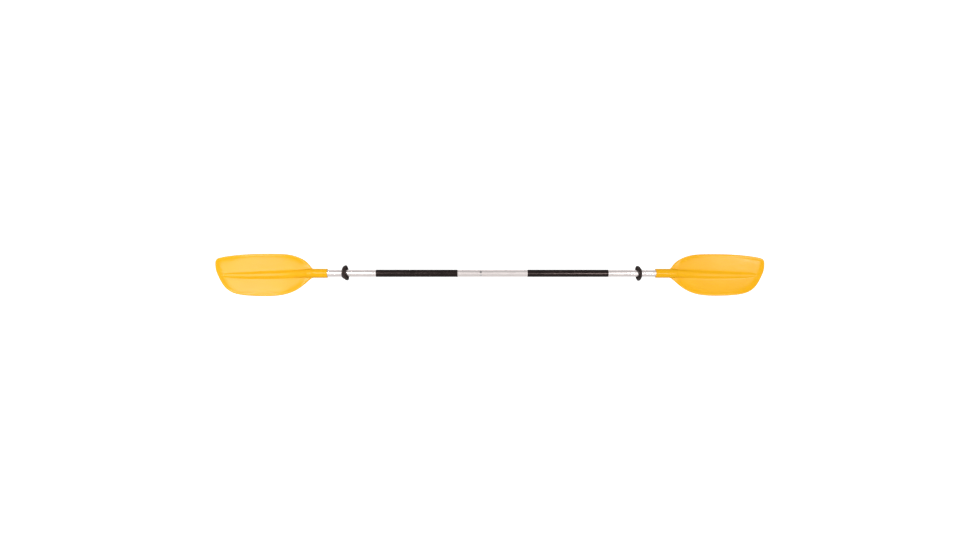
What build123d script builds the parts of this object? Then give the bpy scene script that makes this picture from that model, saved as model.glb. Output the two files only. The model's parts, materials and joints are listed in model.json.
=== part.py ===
from build123d import *

import os
from math import cos, radians, sin

# Take-apart kayak paddle: aluminium tube shaft with a push-button ferrule, moulded plastic
# blades, slip-on grips and drip rings. X runs along the shaft, Z is up with the longer edge of
# each blade on top, and -Y is the side the power faces look to. The origin is on the shaft axis,
# where the two halves meet. All sizes are in millimetres.

# Overall
overall_length = 2200.0
half_length = overall_length / 2

# Shaft tubes
tube_r = 14.0
tube_wall = 1.5
tube_bore_r = tube_r - tube_wall
seam_gap = 0.3  # between the two tube ends when the paddle is joined
edge_break = 0.3

# Blades, measured along s, the distance from the socket's mouth towards the tip
blade_length = 438.6
socket_mouth = half_length - blade_length
socket_r = 18.5
socket_depth = 78.0
glue_gap = 0.05
socket_nose_length = 15.0
socket_lip = 1.2
tube_length = socket_mouth + socket_depth

# Blade outline as (s, height): along the top edge, round the raked tip and back along the bottom edge
blade_outline = [
    (54.0, 8.0),
    (84.0, 46.2),
    (112.0, 63.0),
    (150.0, 74.2),
    (200.0, 77.8),
    (255.0, 78.0),
    (330.0, 75.0),
    (398.0, 67.0),
    (420.5, 62.4),
    (430.3, 58.4),
    (436.6, 50.8),
    (438.6, 36.4),
    (436.2, 12.0),
    (428.6, -9.2),
    (415.0, -36.8),
    (397.5, -60.2),
    (374.5, -76.2),
    (344.5, -85.2),
    (300.0, -90.1),
    (250.0, -91.7),
    (205.0, -90.2),
    (168.0, -84.6),
    (132.0, -72.1),
    (100.0, -51.8),
    (76.0, -30.9),
    (54.0, -12.5),
]
sheet_middle = 4.8  # thickness beside the spine
sheet_edge = 3.0
edge_round = 1.1
spoon_rise = 16.0  # the sheet first leans back, then sweeps forward to the tip
spoon_sweep = 34.0
cup_depth = 3.5  # how far the long edges stand forward of the middle

# Spine, as (s, height of its middle, half its width, half its depth)
spine_stations = [
    (60.0, 0.0, 17.2, 17.2),
    (100.0, -0.8, 15.6, 12.6),
    (160.0, -3.0, 15.0, 10.2),
    (240.0, -5.4, 13.8, 8.6),
    (320.0, -7.0, 12.0, 6.6),
    (372.0, -7.6, 9.6, 4.8),
    (400.0, -7.8, 6.8, 3.4),
    (417.0, -7.9, 2.6, 1.3),
]

# Ferrule, glued and riveted in the right tube, a sliding fit in the left one
ferrule_r = tube_bore_r - 0.05
ferrule_wall = 2.0
ferrule_bore_r = ferrule_r - ferrule_wall
ferrule_out = 115.0  # how far it stands out of the right tube
ferrule_in = 85.0
ferrule_lead = 1.0

# Moulded cap in the ferrule's free end
cap_flange = 2.0
cap_flange_r = 11.3
cap_plug = 12.0

# Seal ring in a groove near the ferrule's free end
seal_x = -104.0
seal_groove_r = 11.25
seal_groove_width = 1.6
seal_section_r = 0.58
seal_centre_r = seal_groove_r + 0.03 + seal_section_r

# Push button and its spring, tilted up from the power-face side
button_x = -48.0
button_tilt = 20.0
feather_step = 60.0
button_r = 3.8
button_hole_r = 4.1
button_base = 9.3
button_top = 16.3
button_dome = 2.0
button_stem_r = 1.5
button_tail_r = 2.3
button_tail = 0.8
spring_width = 9.0
spring_thickness = 0.7
spring_tip_x = -54.0
spring_pad_x = -41.0
spring_bend_x = -6.0
spring_bend_height = 2.6

# Grips
grip_start = 140.8
grip_length = 327.0
grip_wall = 0.7
grip_gap = 0.02

# Drip rings: a hub on the tube and a cup that opens towards the grips
ring_outer_end = 604.0
ring_length = 22.0
ring_r = 30.8
ring_bore_r = tube_r + 0.05
ring_hub_r = 17.2
ring_hub_length = 13.0
ring_lip = 3.2  # thickness of the cup's rolled edge
# The cup's wall as (distance in from the hub's outer end, radius)
ring_outside = [(4.5, 21.4), (9.5, 26.6), (14.5, 29.9)]
ring_inside = [(14.0, 25.6), (10.5, 21.9)]
ring_throat = 8.6  # depth at which the inside meets the hub

# Drilling for rivets and buttons, as radii from the shaft's axis
drill_start = 6.0
drill_end = 25.0

# Foam plugs that keep water out of the tubes
plug_length = 25.0
plug_r = tube_bore_r - 0.05
bulkhead_start = 125.0

# Blind rivets, all on the back of the shaft
blade_rivet_s = 32.0
blade_rivet_r = 2.4
blade_rivet_head_r = 4.8
blade_rivet_head = 2.0
ferrule_rivet_x = (25.0, 60.0)
ferrule_rivet_r = 1.6
ferrule_rivet_head_r = 3.3
ferrule_rivet_head = 1.1
rivet_tail = 2.2
rivet_clearance = 0.03

SHAFT_AXIS = Axis((0, 0, 0), (1, 0, 0))


def rod(radius, x0, x1):
    """A solid cylinder on the shaft axis from x0 to x1."""
    return Plane((x0, 0, 0), x_dir=(0, 1, 0), z_dir=(1, 0, 0)) * Cylinder(
        radius, x1 - x0, align=(Align.CENTER, Align.CENTER, Align.MIN)
    )


def pipe(outer_r, inner_r, x0, x1):
    """A tube on the shaft axis from x0 to x1."""
    return rod(outer_r, x0, x1) - rod(inner_r, x0 - 1, x1 + 1)


def radial_pin(radius, x, degrees_up, r0, r1):
    """A cylinder that stands across the shaft at x, from r0 to r1. 0 degrees points to -Y, 90 to +Z."""
    out = (0, -cos(radians(degrees_up)), sin(radians(degrees_up)))
    start = (x, out[1] * r0, out[2] * r0)
    return Plane(start, x_dir=(1, 0, 0), z_dir=out) * Cylinder(
        radius, r1 - r0, align=(Align.CENTER, Align.CENTER, Align.MIN)
    )


def drill(radius, x, degrees_up):
    """The cutter for a hole through one side of the shaft."""
    return radial_pin(radius, x, degrees_up, drill_start, drill_end)


def mirrored(part):
    """The left-hand twin of a right-hand part."""
    return mirror(part, about=Plane.YZ)


def spoon(s):
    """Depth of the sheet's middle at s. Negative is forward."""
    t = (s - socket_depth) / (blade_length - socket_depth)
    return spoon_rise * t - spoon_sweep * t * t


def sheet_thickness(z):
    """The sheet thins from the spine to its edges."""
    return sheet_middle + (sheet_edge - sheet_middle) * min(1.0, abs(z) / 88.0) ** 1.5


def sheet_depth(s, z):
    """Depth of the sheet's middle surface at (s, z)."""
    return spoon(s) - cup_depth * (z / 85.0) ** 2


def blade_section(s):
    """A slice across the sheet at s, wider than the outline."""
    heights = [-100, -70, -40, 0, 40, 70, 100]
    front = [(s, sheet_depth(s, z) - sheet_thickness(z) / 2, z) for z in heights]
    back = [(s, sheet_depth(s, z) + sheet_thickness(z) / 2, z) for z in heights]
    return Face(
        Wire([Spline(front), Line(front[-1], back[-1]), Spline(back), Line(front[0], back[0])])
    )


def blade_sheet():
    """The blade without its socket: lofted slices trimmed to the outline."""
    body = loft([blade_section(s) for s in (30, 90, 160, 230, 300, 370, 455)])
    edge = Spline([(s, 0, z) for s, z in blade_outline])
    closing = Line(edge @ 1, edge @ 0)
    prism = extrude(Face(Wire([edge, closing])), amount=60, dir=(0, 1, 0), both=True)
    sheet = body & prism
    rims = [e for e in sheet.edges() if e.length > 600]
    return fillet(rims, edge_round)


def blade_spine():
    """A spear that tapers from the socket towards the tip and stands out on both faces."""
    rings = []
    for s, z, half_width, half_depth in spine_stations:
        ring = Plane((s, sheet_depth(s, z), z), x_dir=(0, 1, 0), z_dir=(1, 0, 0))
        rings.append(ring * Ellipse(half_depth, half_width))
    return loft(rings)


def blade():
    """The right blade, moulded in one piece with its socket."""
    nose = Plane((socket_depth, 0, 0)) * scale(
        Sphere(socket_r), by=(socket_nose_length / socket_r, 1, 1)
    )
    collar = rod(socket_r, 0, socket_depth)
    collar = fillet(collar.edges().filter_by(GeomType.CIRCLE).sort_by(Axis.X)[0], socket_lip)
    body = blade_sheet() + blade_spine() + collar + nose
    bore = rod(tube_r + glue_gap, -1, socket_depth + 0.5)
    hole = drill(blade_rivet_r + rivet_clearance, blade_rivet_s, 180)
    body = body - bore - hole
    return Pos(socket_mouth, 0, 0) * body


def feather_holes():
    """The three button holes in the left tube, one for each blade angle."""
    angles = [button_tilt - feather_step, button_tilt, button_tilt + feather_step]
    return [drill(button_hole_r, button_x, a) for a in angles]


def shaft_tube():
    """A right-hand tube, from the seam to its end inside the blade."""
    tube = pipe(tube_r, tube_bore_r, seam_gap / 2, tube_length)
    ends = tube.edges().filter_by(GeomType.CIRCLE)
    tube = chamfer(ends, edge_break)
    x = socket_mouth + blade_rivet_s
    return tube - drill(blade_rivet_r + rivet_clearance, x, 180)


def left_shaft_tube():
    tube = mirrored(shaft_tube())
    for hole in feather_holes():
        tube -= hole
    return tube


def right_shaft_tube():
    tube = shaft_tube()
    for x in ferrule_rivet_x:
        tube -= drill(ferrule_rivet_r + rivet_clearance, x, 180)
    return tube


def ferrule():
    body = rod(ferrule_r, -ferrule_out, ferrule_in)
    rim = body.edges().filter_by(GeomType.CIRCLE).sort_by(Axis.X)[0]
    body = chamfer(rim, ferrule_lead)
    body -= rod(ferrule_bore_r, -ferrule_out - 1, ferrule_in + 1)
    half = seal_groove_width / 2
    body -= pipe(ferrule_r + 1, seal_groove_r, seal_x - half, seal_x + half)
    body -= drill(button_hole_r, button_x, button_tilt)
    for x in ferrule_rivet_x:
        body -= drill(ferrule_rivet_r + rivet_clearance, x, 180)
    return body


def ferrule_seal():
    return Plane((seal_x, 0, 0), x_dir=(0, 1, 0), z_dir=(1, 0, 0)) * Torus(
        seal_centre_r, seal_section_r
    )


def ferrule_cap():
    flange = rod(cap_flange_r, -ferrule_out - cap_flange, -ferrule_out)
    rim = flange.edges().filter_by(GeomType.CIRCLE).sort_by(Axis.X)[0]
    flange = fillet(rim, cap_flange / 2)
    plug = pipe(ferrule_bore_r - glue_gap, ferrule_bore_r - 2, -ferrule_out, -ferrule_out + cap_plug)
    return flange + plug


def snap_button():
    """A domed pin with a thin stem peened under the spring's pad."""
    pin = radial_pin(button_r, button_x, button_tilt, button_base, button_top)
    rims = pin.edges().filter_by(GeomType.CIRCLE)
    crown = max(rims, key=lambda rim: Vector(0, rim.center().Y, rim.center().Z).length)
    pin = fillet(crown, button_dome)
    pad_under = button_base - spring_thickness
    pin += radial_pin(button_stem_r, button_x, button_tilt, pad_under, button_base)
    pin += radial_pin(button_tail_r, button_x, button_tilt, pad_under - button_tail, pad_under)
    return pin


def button_spring():
    """A bent strip inside the ferrule: one leg carries the button, the other presses on the far wall."""
    inset = spring_thickness / 2
    top = button_base - inset
    path = FilletPolyline(
        (spring_tip_x, top),
        (spring_pad_x, top),
        (spring_bend_x, spring_bend_height),
        (spring_bend_x, -spring_bend_height),
        (spring_tip_x, -top),
        radius=2.0,
    )
    strip = extrude(trace(path, line_width=spring_thickness), amount=spring_width / 2, both=True)
    across = (0, -sin(radians(button_tilt)), -cos(radians(button_tilt)))
    strip = Plane((0, 0, 0), x_dir=(1, 0, 0), z_dir=across) * strip
    hole = radial_pin(button_stem_r + 0.05, button_x, button_tilt, button_base - 2, button_base + 1)
    return strip - hole


def grip():
    return pipe(tube_r + grip_gap + grip_wall, tube_r + grip_gap, grip_start, grip_start + grip_length)


def drip_ring():
    """A rubber cup turned around the shaft."""
    end = ring_outer_end
    hub_end = end - ring_hub_length
    half_lip = ring_lip / 2
    edge_x = end - ring_length + half_lip
    outside = Spline(
        [(end, ring_hub_r), *[(end - depth, r) for depth, r in ring_outside], (edge_x, ring_r)],
        tangents=[(-0.5, 1), (-1, 0)],
    )
    lip = ThreePointArc(
        (edge_x, ring_r), (edge_x - half_lip, ring_r - half_lip), (edge_x, ring_r - ring_lip)
    )
    throat = (end - ring_throat, ring_hub_r)
    inside = Spline(
        [(edge_x, ring_r - ring_lip), *[(end - depth, r) for depth, r in ring_inside], throat],
        tangents=[(1, -0.15), (0, -1)],
    )
    hub = Polyline(
        throat,
        (hub_end, ring_hub_r - 1),
        (hub_end, ring_bore_r),
        (end, ring_bore_r),
        (end, ring_hub_r),
    )
    profile = make_face([*outside.edges(), *lip.edges(), *inside.edges(), *hub.edges()])
    return revolve(profile, axis=Axis.X)


def foam_plug(x0):
    return rod(plug_r, x0, x0 + plug_length)


def blind_rivet(x, radius, head_r, head_height, seat_r, inner_r):
    """A rivet on the back of the shaft: a low dome that hugs the round seat, a shank and a set tail."""
    ball_r = (head_r**2 + head_height**2) / (2 * head_height)
    centre = seat_r + head_height - ball_r
    head = Pos(x, centre, 0) * Sphere(ball_r) & radial_pin(head_r, x, 180, seat_r - 1.5, seat_r + 5)
    head -= rod(seat_r + 0.01, x - 10, x + 10)
    shank = radial_pin(radius, x, 180, inner_r - 0.5, seat_r + head_height / 2)
    tail = radial_pin(radius * 1.4, x, 180, inner_r - rivet_tail, inner_r - 0.45)
    return head + shank + tail


def blade_rivet():
    x = socket_mouth + blade_rivet_s
    return blind_rivet(
        x, blade_rivet_r, blade_rivet_head_r, blade_rivet_head, socket_r, tube_bore_r
    )


def ferrule_rivets():
    return [
        blind_rivet(
            x, ferrule_rivet_r, ferrule_rivet_head_r, ferrule_rivet_head, tube_r, ferrule_bore_r
        )
        for x in ferrule_rivet_x
    ]


def save(name, shape):
    solids = []
    for item in shape if isinstance(shape, (list, tuple)) else [shape]:
        solids += item.solids()
    export_step(Compound(children=solids), f"parts/{name}.step")


os.makedirs("parts", exist_ok=True)

right_hand = {
    "blade": blade(),
    "grip": grip(),
    "drip_ring": drip_ring(),
    "blade_rivet": blade_rivet(),
    "tube_plug": foam_plug(tube_length - 1 - plug_length),
    "bulkhead": foam_plug(bulkhead_start),
}
for name, part in right_hand.items():
    save(f"right_{name}", part)
    save(f"left_{name}", mirrored(part))

save("left_shaft_tube", left_shaft_tube())
save("right_shaft_tube", right_shaft_tube())
save("ferrule", ferrule())
save("ferrule_rivets", ferrule_rivets())
save("ferrule_seal", ferrule_seal())
save("ferrule_cap", ferrule_cap())
save("snap_button", snap_button())
save("button_spring", button_spring())
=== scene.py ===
import json
from math import cos, pi, radians, sin, sqrt

import bmesh
import bpy
import numpy as np
from mathutils import Matrix, Vector


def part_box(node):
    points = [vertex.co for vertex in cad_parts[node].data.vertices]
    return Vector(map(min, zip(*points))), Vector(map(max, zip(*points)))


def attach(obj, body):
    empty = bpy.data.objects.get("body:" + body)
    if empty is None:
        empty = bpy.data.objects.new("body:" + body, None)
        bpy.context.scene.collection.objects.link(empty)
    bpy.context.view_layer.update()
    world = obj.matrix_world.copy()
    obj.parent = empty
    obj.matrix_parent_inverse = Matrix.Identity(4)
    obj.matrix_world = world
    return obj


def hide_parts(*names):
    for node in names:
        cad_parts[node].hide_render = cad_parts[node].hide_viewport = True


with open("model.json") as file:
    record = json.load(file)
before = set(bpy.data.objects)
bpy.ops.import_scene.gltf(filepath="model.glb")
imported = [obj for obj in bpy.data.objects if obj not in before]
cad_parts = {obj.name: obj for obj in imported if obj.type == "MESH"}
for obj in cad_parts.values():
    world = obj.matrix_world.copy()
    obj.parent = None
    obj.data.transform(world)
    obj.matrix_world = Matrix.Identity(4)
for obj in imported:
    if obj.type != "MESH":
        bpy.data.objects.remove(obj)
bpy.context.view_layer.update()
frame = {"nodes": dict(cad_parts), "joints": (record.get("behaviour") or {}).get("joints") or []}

MM = 0.001
MIRROR = np.array([-1.0, 1.0, 1.0])  # the right half to the left half

# ---------------------------------------------------------------- places taken from the frame


def span(node, axis=0):
    """Lowest and highest coordinate of a CAD node along one axis, in mm."""
    low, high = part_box(node)
    return low[axis] / MM, high[axis] / MM


mouth, tip = span("right_blade")
blade_length = tip - mouth
tube_start, tube_end = span("right_shaft_tube")
tube_r = span("right_shaft_tube", 2)[1]
grip_start, grip_end = span("right_grip")
grip_r = span("right_grip", 2)[1]
ring_mouth, ring_end = span("right_drip_ring")
ring_r = span("right_drip_ring", 2)[1]
ferrule_start, ferrule_end = span("ferrule")
ferrule_r = span("ferrule", 2)[1]
cap_start, cap_end = span("ferrule_cap")
rivet_x = sum(span("right_blade_rivet")) / 2
press = next(j for j in frame["joints"] if j["name"] == "button_press")
button_out = -Vector(press["axis"]).normalized()
button_x = sum(span("snap_button")) / 2
twist = next(j for j in frame["joints"] if j["name"] == "feather_twist")
feather_stops = [radians(a) for a in (twist["range_deg"][0], 0.0, twist["range_deg"][1])]

tube_wall = 1.5
ferrule_wall = 2.0
slip = 0.05  # clearance of a part that fits closely over or inside another
tube_bore = tube_r - tube_wall
ferrule_bore = ferrule_r - ferrule_wall
ring_bore = tube_r + slip
button_hole_r = 4.1

# ---------------------------------------------------------------- mesh helpers


def add_object(name, vertices, faces, sharp=40.0):
    """A mesh object from vertices in mm, smooth-shaded up to the sharp angle."""
    mesh = bpy.data.meshes.new(name)
    mesh.from_pydata([tuple(v) for v in (np.asarray(vertices, float) * MM)], [], faces)
    mesh.update()
    obj = bpy.data.objects.new(name, mesh)
    bpy.context.scene.collection.objects.link(obj)
    tidy_mesh(obj, sharp)
    return obj


def tidy_mesh(obj, sharp=40.0, weld=2e-6):
    """Welds double points, turns the faces outwards and shades smooth up to the sharp angle."""
    work = bmesh.new()
    work.from_mesh(obj.data)
    bmesh.ops.remove_doubles(work, verts=work.verts, dist=weld)
    bmesh.ops.dissolve_degenerate(work, edges=work.edges, dist=1e-7)
    bmesh.ops.recalc_face_normals(work, faces=work.faces)
    work.to_mesh(obj.data)
    work.free()
    obj.data.shade_smooth()
    obj.data.set_sharp_from_angle(angle=radians(sharp))


def arc(centre_x, centre_r, radius, start, stop, steps=6):
    """Points on an arc in the (x, r) plane. Angles in degrees, 0 towards +x, 90 outwards."""
    angles = [radians(start + (stop - start) * i / steps) for i in range(steps + 1)]
    return [(centre_x + radius * cos(a), centre_r + radius * sin(a)) for a in angles]


def turned(profile, segments=96, closed=True):
    """Vertices and faces of (x, r) points turned about the X axis. A point on it makes one vertex."""
    vertices, rings = [], []
    for x, r in profile:
        if r < 1e-6:
            rings.append([len(vertices)] * segments)
            vertices.append((x, 0.0, 0.0))
            continue
        rings.append(list(range(len(vertices), len(vertices) + segments)))
        for k in range(segments):
            a = 2 * pi * k / segments
            vertices.append((x, -r * sin(a), r * cos(a)))
    faces = []
    following = rings[1:] + rings[:1] if closed else rings[1:]
    for a, b in zip(rings, following):
        for k in range(segments):
            n = (k + 1) % segments
            face = []
            for v in (a[k], b[k], b[n], a[n]):
                if v not in face:
                    face.append(v)
            if len(face) > 2:
                faces.append(face)
    return np.array(vertices), faces


def refine(profile, step):
    """Splits the long straight runs of a profile, so that a turned part has even faces."""
    out = [profile[0]]
    for (x0, r0), (x1, r1) in zip(profile, profile[1:]):
        n = max(1, int(sqrt((x1 - x0) ** 2 + (r1 - r0) ** 2) / step))
        out += [(x0 + (x1 - x0) * i / n, r0 + (r1 - r0) * i / n) for i in range(1, n + 1)]
    return out


def stood(vertices, x, direction):
    """Stands a part turned about X on the shaft at x, with its +X end in the given direction."""
    out = Vector(direction).normalized()
    along = Vector((1, 0, 0))
    side = out.cross(along)
    basis = np.array([out, along, side])
    return np.asarray(vertices) @ basis + np.array([x, 0, 0])


def cut(obj, cutters, sharp=40.0):
    """Cuts the cutters out of obj and keeps the result as its mesh."""
    for cutter in cutters:
        modifier = obj.modifiers.new("cut", "BOOLEAN")
        modifier.operation = "DIFFERENCE"
        modifier.solver = "EXACT"
        modifier.object = cutter
    graph = bpy.context.evaluated_depsgraph_get()
    mesh = bpy.data.meshes.new_from_object(obj.evaluated_get(graph))
    obj.modifiers.clear()
    obj.data = mesh
    for cutter in cutters:
        bpy.data.objects.remove(cutter)
    tidy_mesh(obj, sharp, weld=1e-6)
    return obj


def flipped(vertices, faces):
    """The left-hand twin of a right-hand mesh."""
    return np.asarray(vertices) * MIRROR, [list(reversed(f)) for f in faces]


def coat(obj, material):
    obj.data.materials.clear()
    obj.data.materials.append(material)


def place(obj, body, node, material):
    """Coats a piece, fixes it to its body and lets it stand in for a CAD node."""
    coat(obj, material)
    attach(obj, body)
    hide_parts(node)
    return obj


# ---------------------------------------------------------------- blade shape

socket_r = 18.5
socket_depth = 78.0  # where the tube ends inside the socket
nose_length = 15.0  # how far the socket's rounded end runs on into the blade
bore_r = tube_r + slip
loft_start = 40.0  # the blade's own surface starts here, inside the socket's barrel

# (s, z) of the silhouette, from the socket round the tip and back
blade_outline = [
    (54.0, 8.0), (84.0, 46.2), (112.0, 63.0), (150.0, 74.2), (200.0, 77.8), (255.0, 78.0), (330.0, 75.0),
    (398.0, 67.0), (420.5, 62.4), (430.3, 58.4), (436.6, 50.8), (438.6, 36.4), (436.2, 12.0),
    (428.6, -9.2), (415.0, -36.8), (397.5, -60.2), (374.5, -76.2), (344.5, -85.2), (300.0, -90.1),
    (250.0, -91.7), (205.0, -90.2), (168.0, -84.6), (132.0, -72.1), (100.0, -51.8), (76.0, -30.9),
    (54.0, -12.5),
]
# (s, height of the spine's middle, half width, half depth)
spine_stations = [
    (40.0, 0.0, 17.2, 17.2),
    (60.0, 0.0, 17.2, 17.2),
    (100.0, -1.2, 16.2, 14.2),
    (145.0, -3.2, 16.2, 9.4),
    (180.0, -4.9, 16.0, 8.2),
    (240.0, -6.6, 15.2, 7.8),
    (320.0, -8.0, 13.2, 6.4),
    (372.0, -8.2, 10.6, 4.8),
    (400.0, -7.8, 6.8, 3.4),
    (417.0, -7.9, 2.6, 1.3),
]
spine_end = 416.9  # just short of the last station
spine_stop = 413.5  # the mesh lines across the blade end here on the spine
spine_power = 2.5  # beside the socket the spine's section is a little squarer than an ellipse
spine_flat, spine_flare = 0.25, 1.3  # further out it is a bell: where its top ends, where its feet end
spine_bell = 0.85  # share of the bell in the outer spine's section
spoon_rise = 16.0
spoon_sweep = 34.0
cup_depth, cup_reach = 3.5, 85.0  # how far the sheet has dropped at that distance from the spine
curl_width = 30.0  # the tip's and the shoulders' margins curl a little towards the power face
curl_depth = 2.2
sheet_root, sheet_loss = 4.8, 1.8  # thickness at the spine, and what it loses towards the edge
sheet_reach = 88.0  # where it has lost all of that
edge_r = 1.5
border_rise, border_width, border_slope = 0.45, 10.4, 2.0  # the raised border inside the edge
root_blend, barrel_blend = 3.4, 4.5  # heights over which the spine and the socket melt into the sheet
rows = 44  # mesh lines from the edge to the spine
lines = 220  # mesh lines from the socket to the tip


def spline(knots, values, at):
    """Natural cubic spline through the values at the knots, read at the given places."""
    t, p = np.asarray(knots, float), np.asarray(values, float)
    n, h = len(t), np.diff(t)
    a = np.zeros((n, n))
    rhs = np.zeros_like(p)
    a[0, 0] = a[-1, -1] = 1.0
    for i in range(1, n - 1):
        a[i, i - 1 : i + 2] = h[i - 1], 2 * (h[i - 1] + h[i]), h[i]
        rhs[i] = 6 * ((p[i + 1] - p[i]) / h[i] - (p[i] - p[i - 1]) / h[i - 1])
    m = np.linalg.solve(a, rhs)
    at = np.clip(np.asarray(at, float), t[0], t[-1])
    k = np.clip(np.searchsorted(t, at, side="right") - 1, 0, n - 2)
    u, v, g = at - t[k], t[k + 1] - at, h[k]
    if p.ndim > 1:
        u, v, g = u[..., None], v[..., None], g[..., None]
    return (
        m[k] * v**3 / (6 * g) + m[k + 1] * u**3 / (6 * g)
        + (p[k] / g - m[k] * g / 6) * v + (p[k + 1] / g - m[k + 1] * g / 6) * u
    )


def smooth_max(a, b, k):
    """The larger of a and b, with the corner between them rounded over a height of about k."""
    k = np.maximum(k, 1e-9)
    h = np.maximum(k - np.abs(a - b), 0.0) / k
    return np.maximum(a, b) + h * h * k / 4


def smoothstep(low, high, x):
    """Rises smoothly from 0 at low to 1 at high."""
    t = np.clip((x - low) / (high - low), 0.0, 1.0)
    return t * t * (3 - 2 * t)


def mid_depth(s, z):
    """Depth of the blade's middle surface. Negative is towards the power face."""
    u = s - socket_depth
    ease = 18.0
    eased = np.where(u < -ease, 0.0, np.where(u > ease, u, (u + ease) ** 2 / (4 * ease)))
    t = eased / (blade_length - socket_depth)
    cup = cup_depth * (z / cup_reach) ** 2 * smoothstep(50, 110, s)
    return spoon_rise * t - spoon_sweep * t * t - cup


def curl(s, d):
    """How far the margin curls forward at distance d from the edge."""
    where = smoothstep(300, 400, s) + 0.8 * smoothstep(80, 105, s) * (1 - smoothstep(130, 200, s))
    return curl_depth * where * np.maximum(0.0, 1 - d / curl_width) ** 2


def spine_at(s):
    """Height of the spine's middle, its half width and its half depth."""
    table = np.array(spine_stations)
    return spline(table[:, 0], table[:, 1:], s)


def half_height(s, z, d):
    """How far a face stands off the middle surface at (s, z), at distance d from the edge."""
    half = (sheet_root - sheet_loss * np.minimum(1.0, np.abs(z) / sheet_reach) ** 1.5) / 2
    rounding = np.sqrt(np.maximum(0.0, 1 - (1 - np.minimum(d, edge_r) / edge_r) ** 2))
    inside = smoothstep(border_width, border_width + border_slope, d)
    border = border_rise * (1 - inside) * smoothstep(75, 120, s)
    sheet = (half + border) * rounding * smoothstep(46, 58, s)
    middle, width, depth = np.moveaxis(spine_at(s), -1, 0)
    across = (z - middle) / np.maximum(width, 0.01)
    section = (1 - np.abs(np.clip(across, -1, 1)) ** spine_power) ** (1 / spine_power)
    bell = 1 - smoothstep(spine_flat, spine_flare, np.abs(across))
    section += (bell - section) * spine_bell * smoothstep(85, 160, s)
    ridge = np.where(s < spine_end, depth * section, 0.0) * smoothstep(50, 60, s)
    nose = np.maximum(0.0, s - socket_depth) * socket_r / nose_length
    barrel = np.sqrt(np.maximum(0.0, socket_r**2 - z**2 - nose**2))
    near_edge = np.minimum(1.0, d / 2.5)
    with_ridge = smooth_max(sheet, ridge, root_blend * near_edge)
    return smooth_max(with_ridge, barrel, barrel_blend * near_edge * smoothstep(46, 60, s))


def run_along(path):
    """Distance from the path's start to each of its points."""
    return np.concatenate([[0], np.cumsum(np.linalg.norm(np.diff(path, axis=0), axis=1))])


def edge_paths():
    """The silhouette from the socket to the tip, along the top and along the bottom."""
    knots = np.array(blade_outline)
    chord = run_along(knots)
    points = spline(chord, knots, np.linspace(0, chord[-1], 6001))
    near = points[:, 0] < 110
    sign = np.where(points[:, 1] > 0, 1.0, -1.0)
    points[near, 1] = (sign * smooth_max(np.abs(points[:, 1]), socket_r, 6.0))[near]
    far = int(np.argmax(points[:, 0]))
    point = far + int(np.argmax(points[far:, 1] < -8.0))
    top = np.vstack([[(loft_start, socket_r)], points[: point + 1]])
    bottom = np.vstack([[(loft_start, -socket_r)], points[point:][::-1]])
    return resample(top), resample(bottom)


def resample(path):
    """Even steps along a path, closer together where it turns and beside the socket's nose."""
    fine = np.linspace(0, 1, 4001)
    length = run_along(path)
    p = np.stack([np.interp(fine * length[-1], length, path[:, i]) for i in (0, 1)], axis=1)
    step = np.diff(p, axis=0)
    heading = np.unwrap(np.arctan2(step[:, 1], step[:, 0]))
    turn = np.abs(np.gradient(heading)) / np.linalg.norm(step, axis=1)
    turn = np.convolve(turn, np.ones(61) / 61, mode="same")
    weight = 1 + 22 * turn + 1.8 * np.exp(-(((p[:-1, 0] - 84) / 9) ** 2))
    total = np.concatenate([[0], np.cumsum(weight * np.linalg.norm(step, axis=1))])
    wanted = np.linspace(0, total[-1], lines + 1)
    return np.stack([np.interp(wanted, total, p[:, i]) for i in (0, 1)], axis=1)


def spread(length, flank):
    """Shares of a line from the edge (0) to the spine's middle (1), closer where the surface turns."""
    x = np.linspace(0, length, 1200)
    density = np.full_like(x, 0.2)
    density += 3.6 * np.exp(-x / 1.1)
    if length > 30:
        density += 1.1 * np.exp(-(((x - border_width - border_slope / 2) / 1.9) ** 2))
    density += 1.5 * np.exp(-(((x - flank) / 2.6) ** 2))
    density += np.where(x > flank, 0.55, 0.0)
    total = np.concatenate([[0], np.cumsum((density[1:] + density[:-1]) / 2)])
    return np.interp(np.linspace(0, total[-1], rows + 1), total, x) / length


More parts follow.
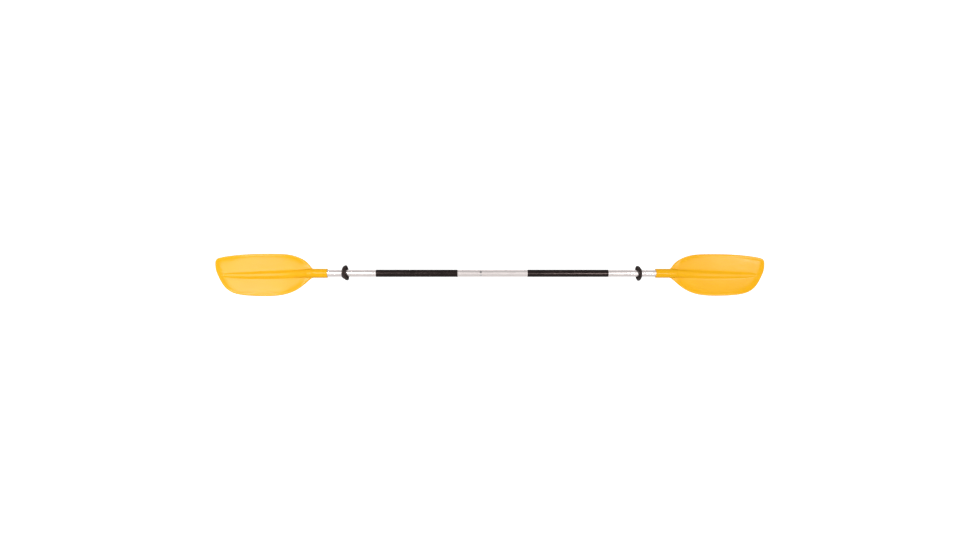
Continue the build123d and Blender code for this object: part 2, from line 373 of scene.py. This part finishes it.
def blade_mesh():
    """The right blade with its socket, in one piece. s runs from the socket's mouth to the tip."""
    top, bottom = edge_paths()
    feet = []
    for path in (top, bottom):
        step = np.diff(path, axis=0)
        progress = np.maximum(step[:, 0], 0) + 0.08 * np.linalg.norm(step, axis=1)
        feet.append(np.concatenate([[0], np.cumsum(progress)]))
    foot_s = loft_start + (spine_stop - loft_start) * (feet[0] / feet[0][-1] + feet[1] / feet[1][-1]) / 2
    spine = spine_at(foot_s)
    foot = np.stack([foot_s, np.where(foot_s < 60, 0.0, spine[:, 0])], axis=1)
    quarter = 1 - np.cos(np.linspace(0, pi / 2, rows + 1))
    vertices, faces = [], []
    for path, side in ((top, 1.0), (bottom, -1.0)):
        tangent = np.gradient(path, axis=0)
        tangent /= np.linalg.norm(tangent, axis=1)[:, None]
        inward = np.stack([tangent[:, 1], -tangent[:, 0]], axis=1) * side
        grid = np.zeros((lines + 1, rows + 1, 3))
        for i in range(lines + 1):
            line = foot[i] - path[i]
            length = np.linalg.norm(line)
            reach = spine[i, 1] * length / max(abs(line[1]), 1e-6)
            share = spread(length, length - min(reach, 0.6 * length))
            blend = smoothstep(50, 92, path[i, 0])
            share = blend * share + (1 - blend) * quarter
            grid[i, :, :2] = path[i] + share[:, None] * line
            grid[i, :, 2] = np.maximum(0.0, (share[:, None] * line) @ inward[i])
        s, z, d = grid[..., 0], grid[..., 1], grid[..., 2]
        height = half_height(s, z, d)
        height[:, 0] = 0.0
        middle = mid_depth(s, z) - curl(s, d)
        for face in (-1, 1):
            start = len(vertices)
            block = np.stack([s, middle + face * height, z], axis=-1).reshape(-1, 3)
            vertices.extend(block.tolist())
            for i in range(lines):
                for j in range(rows):
                    a = start + i * (rows + 1) + j
                    faces.append([a, a + 1, a + rows + 2, a + rows + 1])
    lip = 1.2
    profile = [(loft_start - 10 * i, socket_r) for i in range(4)]
    profile += [(5.0, socket_r), (2.5, socket_r)]
    profile += arc(lip, socket_r - lip, lip, 90, 180, 6)
    profile += arc(0.5, bore_r + 0.5, 0.5, 180, 270, 4)
    profile += [(8.0 + 14.1 * i, bore_r) for i in range(6)]
    profile += [(78.5, bore_r * k) for k in (0.75, 0.5, 0.25, 0.0)]
    more, sides = turned(profile, segments=4 * rows, closed=False)
    faces += [[v + len(vertices) for v in f] for f in sides]
    vertices = np.vstack([np.array(vertices), more])
    return vertices + np.array([mouth, 0, 0]), faces


# ---------------------------------------------------------------- materials


class Surface:
    """A Principled material, with the nodes that its looks are made of."""

    def __init__(self, name):
        self.material = bpy.data.materials.new(name)
        self.material.use_nodes = True
        self.nodes, self.links = self.material.node_tree.nodes, self.material.node_tree.links
        self.shader = self.nodes["Principled BSDF"]
        self.place = self.nodes.new("ShaderNodeTexCoord").outputs["Object"]

    def give(self, **inputs):
        """Sets inputs of the shader to a number, a colour or another node's output."""
        for name, value in inputs.items():
            socket = self.shader.inputs[name.replace("_", " ")]
            if isinstance(value, bpy.types.NodeSocket):
                self.links.new(value, socket)
            else:
                socket.default_value = (*value, 1) if isinstance(value, tuple) else value

    def noise(self, scale, stretch=(1, 1, 1), detail=3.0, rough=0.5):
        mapping = self.nodes.new("ShaderNodeMapping")
        mapping.inputs["Scale"].default_value = stretch
        self.links.new(self.place, mapping.inputs["Vector"])
        texture = self.nodes.new("ShaderNodeTexNoise")
        texture.inputs["Scale"].default_value = scale
        texture.inputs["Detail"].default_value = detail
        texture.inputs["Roughness"].default_value = rough
        self.links.new(mapping.outputs["Vector"], texture.inputs["Vector"])
        return texture.outputs["Fac"]

    def ranged(self, value, low, high, from_low=0.3, from_high=0.7):
        node = self.nodes.new("ShaderNodeMapRange")
        node.inputs["From Min"].default_value = from_low
        node.inputs["From Max"].default_value = from_high
        node.inputs["To Min"].default_value = low
        node.inputs["To Max"].default_value = high
        self.links.new(value, node.inputs["Value"])
        return node.outputs["Result"]

    def tint(self, value, dark, light):
        node = self.nodes.new("ShaderNodeMix")
        node.data_type = "RGBA"
        node.inputs["A"].default_value = (*dark, 1)
        node.inputs["B"].default_value = (*light, 1)
        self.links.new(value, node.inputs["Factor"])
        return node.outputs["Result"]

    def clouded(self, cloud, dark, light):
        """A colour that drifts between dark and light with the noise."""
        return self.tint(self.ranged(cloud, 0, 1), dark, light)

    def bump(self, *layers):
        """Layers of (height, distance in m, strength), one bump on another."""
        normal = None
        for height, distance, strength in layers:
            node = self.nodes.new("ShaderNodeBump")
            node.inputs["Distance"].default_value = distance
            node.inputs["Strength"].default_value = strength
            self.links.new(height, node.inputs["Height"])
            if normal is not None:
                self.links.new(normal, node.inputs["Normal"])
            normal = node.outputs["Normal"]
        self.links.new(normal, self.shader.inputs["Normal"])


def blade_plastic():
    look = Surface("blade_plastic")
    cloud = look.noise(9, detail=2)
    flow = look.noise(40, stretch=(0.25, 1, 1), detail=3)
    grain = look.noise(1400, detail=2)
    scuffs = look.noise(160, stretch=(0.12, 1, 1), detail=4, rough=0.6)
    look.give(
        Base_Color=look.clouded(cloud, (0.815, 0.401, 0.0035), (0.855, 0.426, 0.006)),
        Roughness=look.ranged(scuffs, 0.18, 0.25),
        Specular_IOR_Level=0.14,
    )
    look.bump((flow, 0.0005, 0.10), (grain, 0.00008, 0.10))
    return look.material


def metal(name, dark, light, roughness, scale=900.0, strength=0.25, along=(0.02, 1, 1)):
    """Drawn metal, with fine lines along the shaft unless told otherwise."""
    look = Surface(name)
    drawn = look.noise(scale, stretch=along, detail=3, rough=0.6)
    cloud = look.noise(14, detail=3)
    look.give(
        Base_Color=look.clouded(cloud, dark, light),
        Roughness=look.ranged(drawn, roughness - 0.05, roughness + 0.07),
        Metallic=1.0,
    )
    look.bump((drawn, 0.00002, strength))
    return look.material


def rubber(name, dark, light, roughness, scale, strength, gloss=0.2):
    look = Surface(name)
    grain = look.noise(scale, detail=2)
    cloud = look.noise(25, detail=3)
    look.give(
        Base_Color=look.clouded(cloud, dark, light),
        Roughness=look.ranged(cloud, roughness - 0.06, roughness + 0.06),
        Specular_IOR_Level=gloss,
        Specular_Tint=(1.0, 0.78, 0.74),
        Sheen_Weight=0.03,
        Sheen_Roughness=0.4,
    )
    look.bump((grain, 0.00012, strength))
    return look.material


def foam(name):
    look = Surface(name)
    cells = look.nodes.new("ShaderNodeTexVoronoi")
    cells.inputs["Scale"].default_value = 900
    look.links.new(look.place, cells.inputs["Vector"])
    wall = cells.outputs["Distance"]
    look.give(Base_Color=look.tint(wall, (0.10, 0.10, 0.105), (0.22, 0.22, 0.23)), Roughness=0.9)
    look.bump((wall, 0.0004, 0.6))
    return look.material


even = (1, 1, 1)
mat_blade = blade_plastic()
mat_shaft = metal("shaft_aluminium", (0.88, 0.80, 0.78), (0.94, 0.86, 0.84), 0.25, strength=0.06)
mat_ferrule = metal("ferrule_aluminium", (0.62, 0.62, 0.63), (0.70, 0.70, 0.71), 0.24)
mat_rivet = metal("rivet_aluminium", (0.60, 0.60, 0.61), (0.68, 0.68, 0.69), 0.35, 2000.0, 0.15, even)
mat_button = metal("button_steel", (0.22, 0.21, 0.21), (0.30, 0.29, 0.29), 0.38, 2500.0, 0.15, even)
mat_spring = metal("spring_steel", (0.40, 0.40, 0.42), (0.50, 0.50, 0.52), 0.30)
mat_grip = rubber("grip_rubber", (0.005, 0.0033, 0.003), (0.008, 0.0052, 0.0048), 0.27, 1100.0, 0.05, 0.17)
mat_ring = rubber("drip_ring_rubber", (0.019, 0.012, 0.011), (0.027, 0.017, 0.0155), 0.34, 700.0, 0.18)
mat_seal = rubber("seal_rubber", (0.010, 0.010, 0.010), (0.018, 0.018, 0.018), 0.35, 1800.0, 0.2)
mat_cap = rubber("cap_plastic", (0.018, 0.018, 0.019), (0.028, 0.028, 0.029), 0.42, 1500.0, 0.2)
mat_foam = foam("plug_foam")

# ---------------------------------------------------------------- pieces

blade_v, blade_f = blade_mesh()
blade_right = add_object("blade_right", blade_v, blade_f, 60)
blade_left = add_object("blade_left", *flipped(blade_v, blade_f), 60)
place(blade_right, "right_half", "right_blade", mat_blade)
place(blade_left, "left_half", "left_blade", mat_blade)


def tube_profile(start, end, outer, inner, bevel=0.35):
    """A tube's closed wall section with broken edges."""
    section = [
        (start + bevel, outer), (end - bevel, outer), (end, outer - bevel), (end, inner + bevel),
        (end - bevel, inner), (start + bevel, inner), (start, inner + bevel), (start, outer - bevel),
    ]
    return refine(section + section[:1], step=24.0)[:-1]


def hole_cutter(x, direction, mouth_r, radius=button_hole_r, flare=0.9):
    """A round punch with a flare that breaks the hole's outer edge."""
    root, end = 6.0, 22.0
    profile = [(root, 0.0), (root, radius), (mouth_r - flare, radius)]
    profile += [(mouth_r + 1.2, radius + flare), (end, radius + flare), (end, 0.0)]
    vertices, faces = turned(profile, segments=48, closed=False)
    return add_object("cutter", stood(vertices, x, direction), faces)


right_tube_v, right_tube_f = turned(tube_profile(tube_start, tube_end, tube_r, tube_bore), 128)
tube_right = add_object("tube_right", right_tube_v, right_tube_f)
tube_left = add_object("tube_left", *flipped(right_tube_v, right_tube_f))
hole_ways = [Matrix.Rotation(-stop, 3, "X") @ button_out for stop in feather_stops]
cut(tube_left, [hole_cutter(button_x, way, tube_r) for way in hole_ways])
place(tube_right, "right_half", "right_shaft_tube", mat_shaft)
place(tube_left, "left_half", "left_shaft_tube", mat_shaft)

seal_x = sum(span("ferrule_seal")) / 2
groove_half, groove_r = 0.8, 11.25
seal_r, seal_wire = 11.86, 0.58
ferrule_profile = [
    (ferrule_start, ferrule_bore + 0.3), (ferrule_start, ferrule_r - 1.0), (ferrule_start + 1.0, ferrule_r),
    (seal_x - groove_half, ferrule_r), (seal_x - groove_half, groove_r), (seal_x + groove_half, groove_r),
    (seal_x + groove_half, ferrule_r), (ferrule_end - 0.3, ferrule_r), (ferrule_end, ferrule_r - 0.3),
    (ferrule_end, ferrule_bore), (ferrule_start + 0.3, ferrule_bore), (ferrule_start, ferrule_bore + 0.3),
]
ferrule_v, ferrule_f = turned(refine(ferrule_profile, step=20.0)[:-1], 128)
ferrule = add_object("ferrule_form", ferrule_v, ferrule_f)
cut(ferrule, [hole_cutter(button_x, button_out, ferrule_r)])
place(ferrule, "right_half", "ferrule", mat_ferrule)

cap_r, cap_wall = 11.3, 2.0
plug_r = ferrule_bore - slip
cup_r = ferrule_bore - cap_wall
cap_profile = [(cap_start, 0.0), (cap_start, 6.0)] + arc(cap_start + 1, cap_r - 1, 1.0, 180, 90, 5)
cap_profile += [(ferrule_start, cap_r), (ferrule_start, plug_r), (cap_end, plug_r)]
cap_profile += [(cap_end, cup_r), (ferrule_start + 1.0, cup_r), (ferrule_start + 1.0, 0.0)]
cap_v, cap_f = turned(cap_profile, 96, closed=False)
place(add_object("ferrule_cap_form", cap_v, cap_f), "right_half", "ferrule_cap", mat_cap)

seal_v, seal_f = turned(arc(seal_x, seal_r, seal_wire, 0, 345, 23), 128)
place(add_object("seal_form", seal_v, seal_f), "seal_ring", "ferrule_seal", mat_seal)


def button_mesh(base=9.3, top=16.3, stem_r=3.8, dome_r=2.0):
    """A domed pin. The spring strip holds the neck between its stem and its foot."""
    neck_r, foot_r = 1.5, 2.3
    profile = [(base - 1.5, 0.0), (base - 1.5, foot_r - 0.2), (base - 1.3, foot_r), (base - 0.7, foot_r)]
    profile += [(base - 0.7, neck_r), (base, neck_r), (base, stem_r - 0.2), (base + 0.2, stem_r)]
    profile += arc(top - dome_r, stem_r - dome_r, dome_r, 90, 0, 8)
    profile += [(top + 0.12, 0.9), (top + 0.16, 0.0)]
    return turned(profile, 64, closed=False)


button_v, button_f = button_mesh()
button = add_object("button_form", stood(button_v, button_x, button_out), button_f)
place(button, "button", "snap_button", mat_button)


def grip_profile():
    """A thin sleeve with rolled ends, glued to the tube over a film of 0.02 mm."""
    inner, outer = tube_r + 0.02, grip_r
    half = (outer - inner) / 2
    points = arc(grip_start + half, inner + half, half, 270, 90, 8)
    points += [(grip_start + 3, outer)] + arc(grip_end - half, inner + half, half, 90, -90, 8)
    return refine(points + points[:1], step=12.0)[:-1]


grip_v, grip_f = turned(grip_profile(), 128)
grip_right = add_object("grip_right", grip_v, grip_f, 50)
grip_left = add_object("grip_left", *flipped(grip_v, grip_f), 50)
place(grip_right, "right_half", "right_grip", mat_grip)
place(grip_left, "left_half", "left_grip", mat_grip)


def ring_mesh():
    """A soft rubber cup on the right half. Its mouth looks towards the grips."""
    end, mouth_x = ring_end, ring_mouth
    knots = [
        (end - 0.7, 15.0), (end - 0.05, 16.2), (end - 1.0, 17.9), (end - 4.5, 21.4), (end - 9.5, 26.6),
        (end - 14.5, 29.9), (end - 18.0, 30.75), (mouth_x + 1.2, 30.6), (mouth_x + 0.1, 29.4),
        (mouth_x + 1.2, 27.9), (end - 17.2, 27.0), (end - 13.4, 24.9), (end - 10.2, 21.4), (end - 9.2, 18.6),
        (end - 10.4, 17.1), (end - 12.2, 16.4), (end - 12.95, 15.4), (end - 12.7, 14.6),
    ]
    p = np.array(knots)
    chord = run_along(p)
    curve = spline(chord, p, np.linspace(0, chord[-1], 90))
    profile = [tuple(q) for q in curve] + [(end - inset, ring_bore) for inset in (12.0, 7.0, 1.2)]
    return turned(profile, 144)


def leaned(vertices, lean, turn, top, bottom):
    """Leans the cup and turns its mouth to the front, in degrees, but leaves its bore on the tube.

    top and bottom are its length above and below the tube, as shares of the plain cup's.
    """
    v = np.array(vertices, float)
    side = np.sign(v[:, 0].mean())
    free = smoothstep(15.5, 24.0, np.sqrt(v[:, 1] ** 2 + v[:, 2] ** 2))
    stretch = bottom + (top - bottom) * smoothstep(-ring_r, ring_r, v[:, 2])
    v[:, 0] += side * (1 - stretch) * free * (ring_end - side * v[:, 0])
    centre = np.array([(ring_mouth + ring_end) / 2 * side, 0, 0])
    x, y, z = (v - centre).T
    a, b = radians(lean) * free, radians(turn) * side * free
    x, z = x * np.cos(a) + z * np.sin(a), -x * np.sin(a) + z * np.cos(a)
    x, y = x * np.cos(b) - y * np.sin(b), x * np.sin(b) + y * np.cos(b)
    return np.stack([x, y, z], axis=1) + centre


ring_v, ring_f = ring_mesh()
left_v, left_f = flipped(ring_v, ring_f)
ring_v = leaned(ring_v, lean=-4, turn=7, top=0.78, bottom=0.74)
left_v = leaned(left_v, lean=-14, turn=5, top=1.14, bottom=0.84)
ring_right = add_object("drip_ring_right", ring_v, ring_f, 60)
ring_left = add_object("drip_ring_left", left_v, left_f, 60)
place(ring_right, "right_ring", "right_drip_ring", mat_ring)
place(ring_left, "left_ring", "left_drip_ring", mat_ring)


def rivet_mesh(seat, inner, shank_r, head_r, head):
    """A set blind rivet: tail, shank, domed head and the dimple where its mandrel broke off."""
    ball = (head_r**2 + head**2) / (2 * head)
    dome = [(seat + head - ball + sqrt(ball**2 - r * r), r) for r in np.linspace(head_r, 1.0, 9)]
    profile = [(inner - 2.2, 0.0), (inner - 2.2, shank_r * 1.1), (inner - 1.6, shank_r * 1.4)]
    profile += [(inner - 0.5, shank_r), (seat - 0.6, shank_r)]
    profile += [(seat - 0.6, head_r - 0.2), (seat - 0.3, head_r)]
    profile += dome + [(seat + head - 0.55, 0.8), (seat + head - 0.6, 0.0)]
    return turned(profile, 48, closed=False)


back = (0, 1, 0)
blade_rivet_v, blade_rivet_f = rivet_mesh(socket_r, tube_bore, 2.4, 4.8, 2.0)
for side, hand in ((1, "right"), (-1, "left")):
    obj = add_object(f"blade_rivet_{hand}", stood(blade_rivet_v, side * rivet_x, back), blade_rivet_f)
    place(obj, f"{hand}_half", f"{hand}_blade_rivet", mat_rivet)

joint_rivet_r = 3.3
joint_rivet_v, joint_rivet_f = rivet_mesh(tube_r, ferrule_bore, 1.6, joint_rivet_r, 1.1)
low, high = span("ferrule_rivets")
pair_v = np.vstack([stood(joint_rivet_v, x, back) for x in (low + joint_rivet_r, high - joint_rivet_r)])
pair_f = joint_rivet_f + [[k + len(joint_rivet_v) for k in face] for face in joint_rivet_f]
rivet_pair = add_object("ferrule_rivet_pair", pair_v, pair_f)
place(rivet_pair, "right_half", "ferrule_rivets", mat_rivet)

for node in ("left_tube_plug", "right_tube_plug", "left_bulkhead", "right_bulkhead"):
    coat(frame["nodes"][node], mat_foam)
coat(frame["nodes"]["button_spring"], mat_spring)

# ---------------------------------------------------------------- studio


def studio_white(name, colour, seen_glow, lit_glow):
    """Paper that glows a little, and enough for the camera to see it plain white."""
    look = Surface(name)
    seen = look.nodes.new("ShaderNodeLightPath").outputs["Is Camera Ray"]
    look.give(
        Base_Color=colour,
        Roughness=0.9,
        Specular_IOR_Level=0.0,
        Emission_Color=(1, 1, 1),
        Emission_Strength=look.ranged(seen, lit_glow, seen_glow, 0.0, 1.0),
    )
    return look.material


def floor_mesh(depth=-0.75, back=6.5, radius=2.8, width=12.0, front=-7.0, height=9.0):
    """A pale floor that sweeps up into a backdrop."""
    sweep = arc(back - radius, depth + radius, radius, -90, 0, 16)
    line = [(front, depth)] + sweep + [(back, height)]
    vertices = [(x, y, z) for y, z in line for x in (-width, width)]
    faces = [[2 * i, 2 * i + 1, 2 * i + 3, 2 * i + 2] for i in range(len(line) - 1)]
    return np.array(vertices) / MM, faces


floor = add_object("floor", *floor_mesh(), 80)
floor.data.materials.append(studio_white("floor_paper", (0.5, 0.5, 0.5), 0.9, 0.30))


def pointed(obj, location, target):
    """Puts a light or camera at a place, looking at the target."""
    obj.location = location
    obj.rotation_euler = (Vector(target) - Vector(location)).to_track_quat("-Z", "Y").to_euler()
    bpy.context.scene.collection.objects.link(obj)
    return obj


def softbox(name, location, target, size, power):
    data = bpy.data.lights.new(name, "AREA")
    data.shape = "RECTANGLE"
    data.size, data.size_y = size
    data.energy = power
    return pointed(bpy.data.objects.new(name, data), location, target)


# keys from both sides, a narrow light that draws a sheen along each blade, and one for each socket
softbox("key_left", (-3.0, -2.4, 0.8), (-0.8, 0, 0), (1.5, 1.5), 12)
softbox("key_right", (3.0, -2.4, 0.8), (0.8, 0, 0), (1.5, 1.5), 9)
softbox("sheen_left", (-1.34, -2.6, 0.0), (-0.9, 0, 0), (0.14, 0.75), 12)
softbox("sheen_right", (1.45, -2.6, -0.22), (0.95, 0, 0), (0.12, 0.6), 5.5)
softbox("collar_left", (-1.17, -2.6, 0.52), (-0.7, 0, 0), (0.24, 0.6), 11)
softbox("collar_right", (1.38, -2.6, -0.40), (0.7, 0, 0), (0.24, 0.5), 8)
strip_left = softbox("strip_left", (-0.72, -2.6, 0.0), (-0.4, 0, 0), (0.44, 0.4), 5)
strip_right = softbox("strip_right", (0.86, -2.6, -0.42), (0.4, 0, 0), (0.50, 0.32), 58)
softbox("rim", (0.0, 1.4, 1.6), (0, 0, 0), (2.6, 0.4), 6)

# the two strips draw the thin lines of light along the grips and touch nothing else
grips_only = bpy.data.collections.new("grips_only")
for obj in (grip_left, grip_right):
    grips_only.objects.link(obj)
for light in (strip_left, strip_right):
    light.light_linking.receiver_collection = grips_only


def studio_world():
    """White to the camera. To the object it is grey, with a bright band ahead at eye level."""
    grey_level, band_level = 0.57, 0.55
    world = bpy.data.worlds.new("studio")
    world.use_nodes = True
    nodes, links = world.node_tree.nodes, world.node_tree.links

    def calculated(operation, a, b=0.0):
        node = nodes.new("ShaderNodeMath")
        node.operation = operation
        for value, socket in zip((a, b), node.inputs):
            if isinstance(value, float):
                socket.default_value = value
            else:
                links.new(value, socket)
        return node.outputs["Value"]

    def ramp(value, low, high):
        node = nodes.new("ShaderNodeMapRange")
        node.interpolation_type = "SMOOTHSTEP"
        node.inputs["From Min"].default_value = low
        node.inputs["From Max"].default_value = high
        links.new(value, node.inputs["Value"])
        return node.outputs["Result"]

    direction = nodes.new("ShaderNodeTexCoord").outputs["Generated"]
    split = nodes.new("ShaderNodeSeparateXYZ")
    links.new(direction, split.inputs["Vector"])
    steepness = calculated("ABSOLUTE", split.outputs["Z"])
    sideways = calculated("ABSOLUTE", split.outputs["X"])
    level = calculated("SUBTRACT", 1.0, ramp(steepness, 0.15, 0.65))
    ahead = ramp(calculated("MULTIPLY", split.outputs["Y"], -1.0), 0.2, 0.7)
    aside = calculated("ADD", 0.4, calculated("MULTIPLY", 0.6, ramp(sideways, 0.05, 0.22)))
    band = calculated("MULTIPLY", calculated("MULTIPLY", level, ahead), aside)
    lit = calculated("ADD", grey_level, calculated("MULTIPLY", band_level, band))
    seen = nodes.new("ShaderNodeLightPath").outputs["Is Camera Ray"]
    background = nodes["Background"]
    background.inputs["Color"].default_value = (1, 1, 1, 1)
    links.new(calculated("MAXIMUM", lit, seen), background.inputs["Strength"])
    bpy.context.scene.world = world


studio_world()

scene = bpy.context.scene
scene.view_settings.view_transform = "Standard"

camera_data = bpy.data.cameras.new("camera")
camera_data.lens = 27.385
camera_data.sensor_width = 36.0
camera_data.clip_end = 50
distance, turn = 3.0, radians(-1.65)
aim = Vector((-0.0144, 0, -0.007))
eye = aim + distance * Vector((sin(turn), -cos(turn), 0))
scene.camera = pointed(bpy.data.objects.new("camera", camera_data), eye, aim)
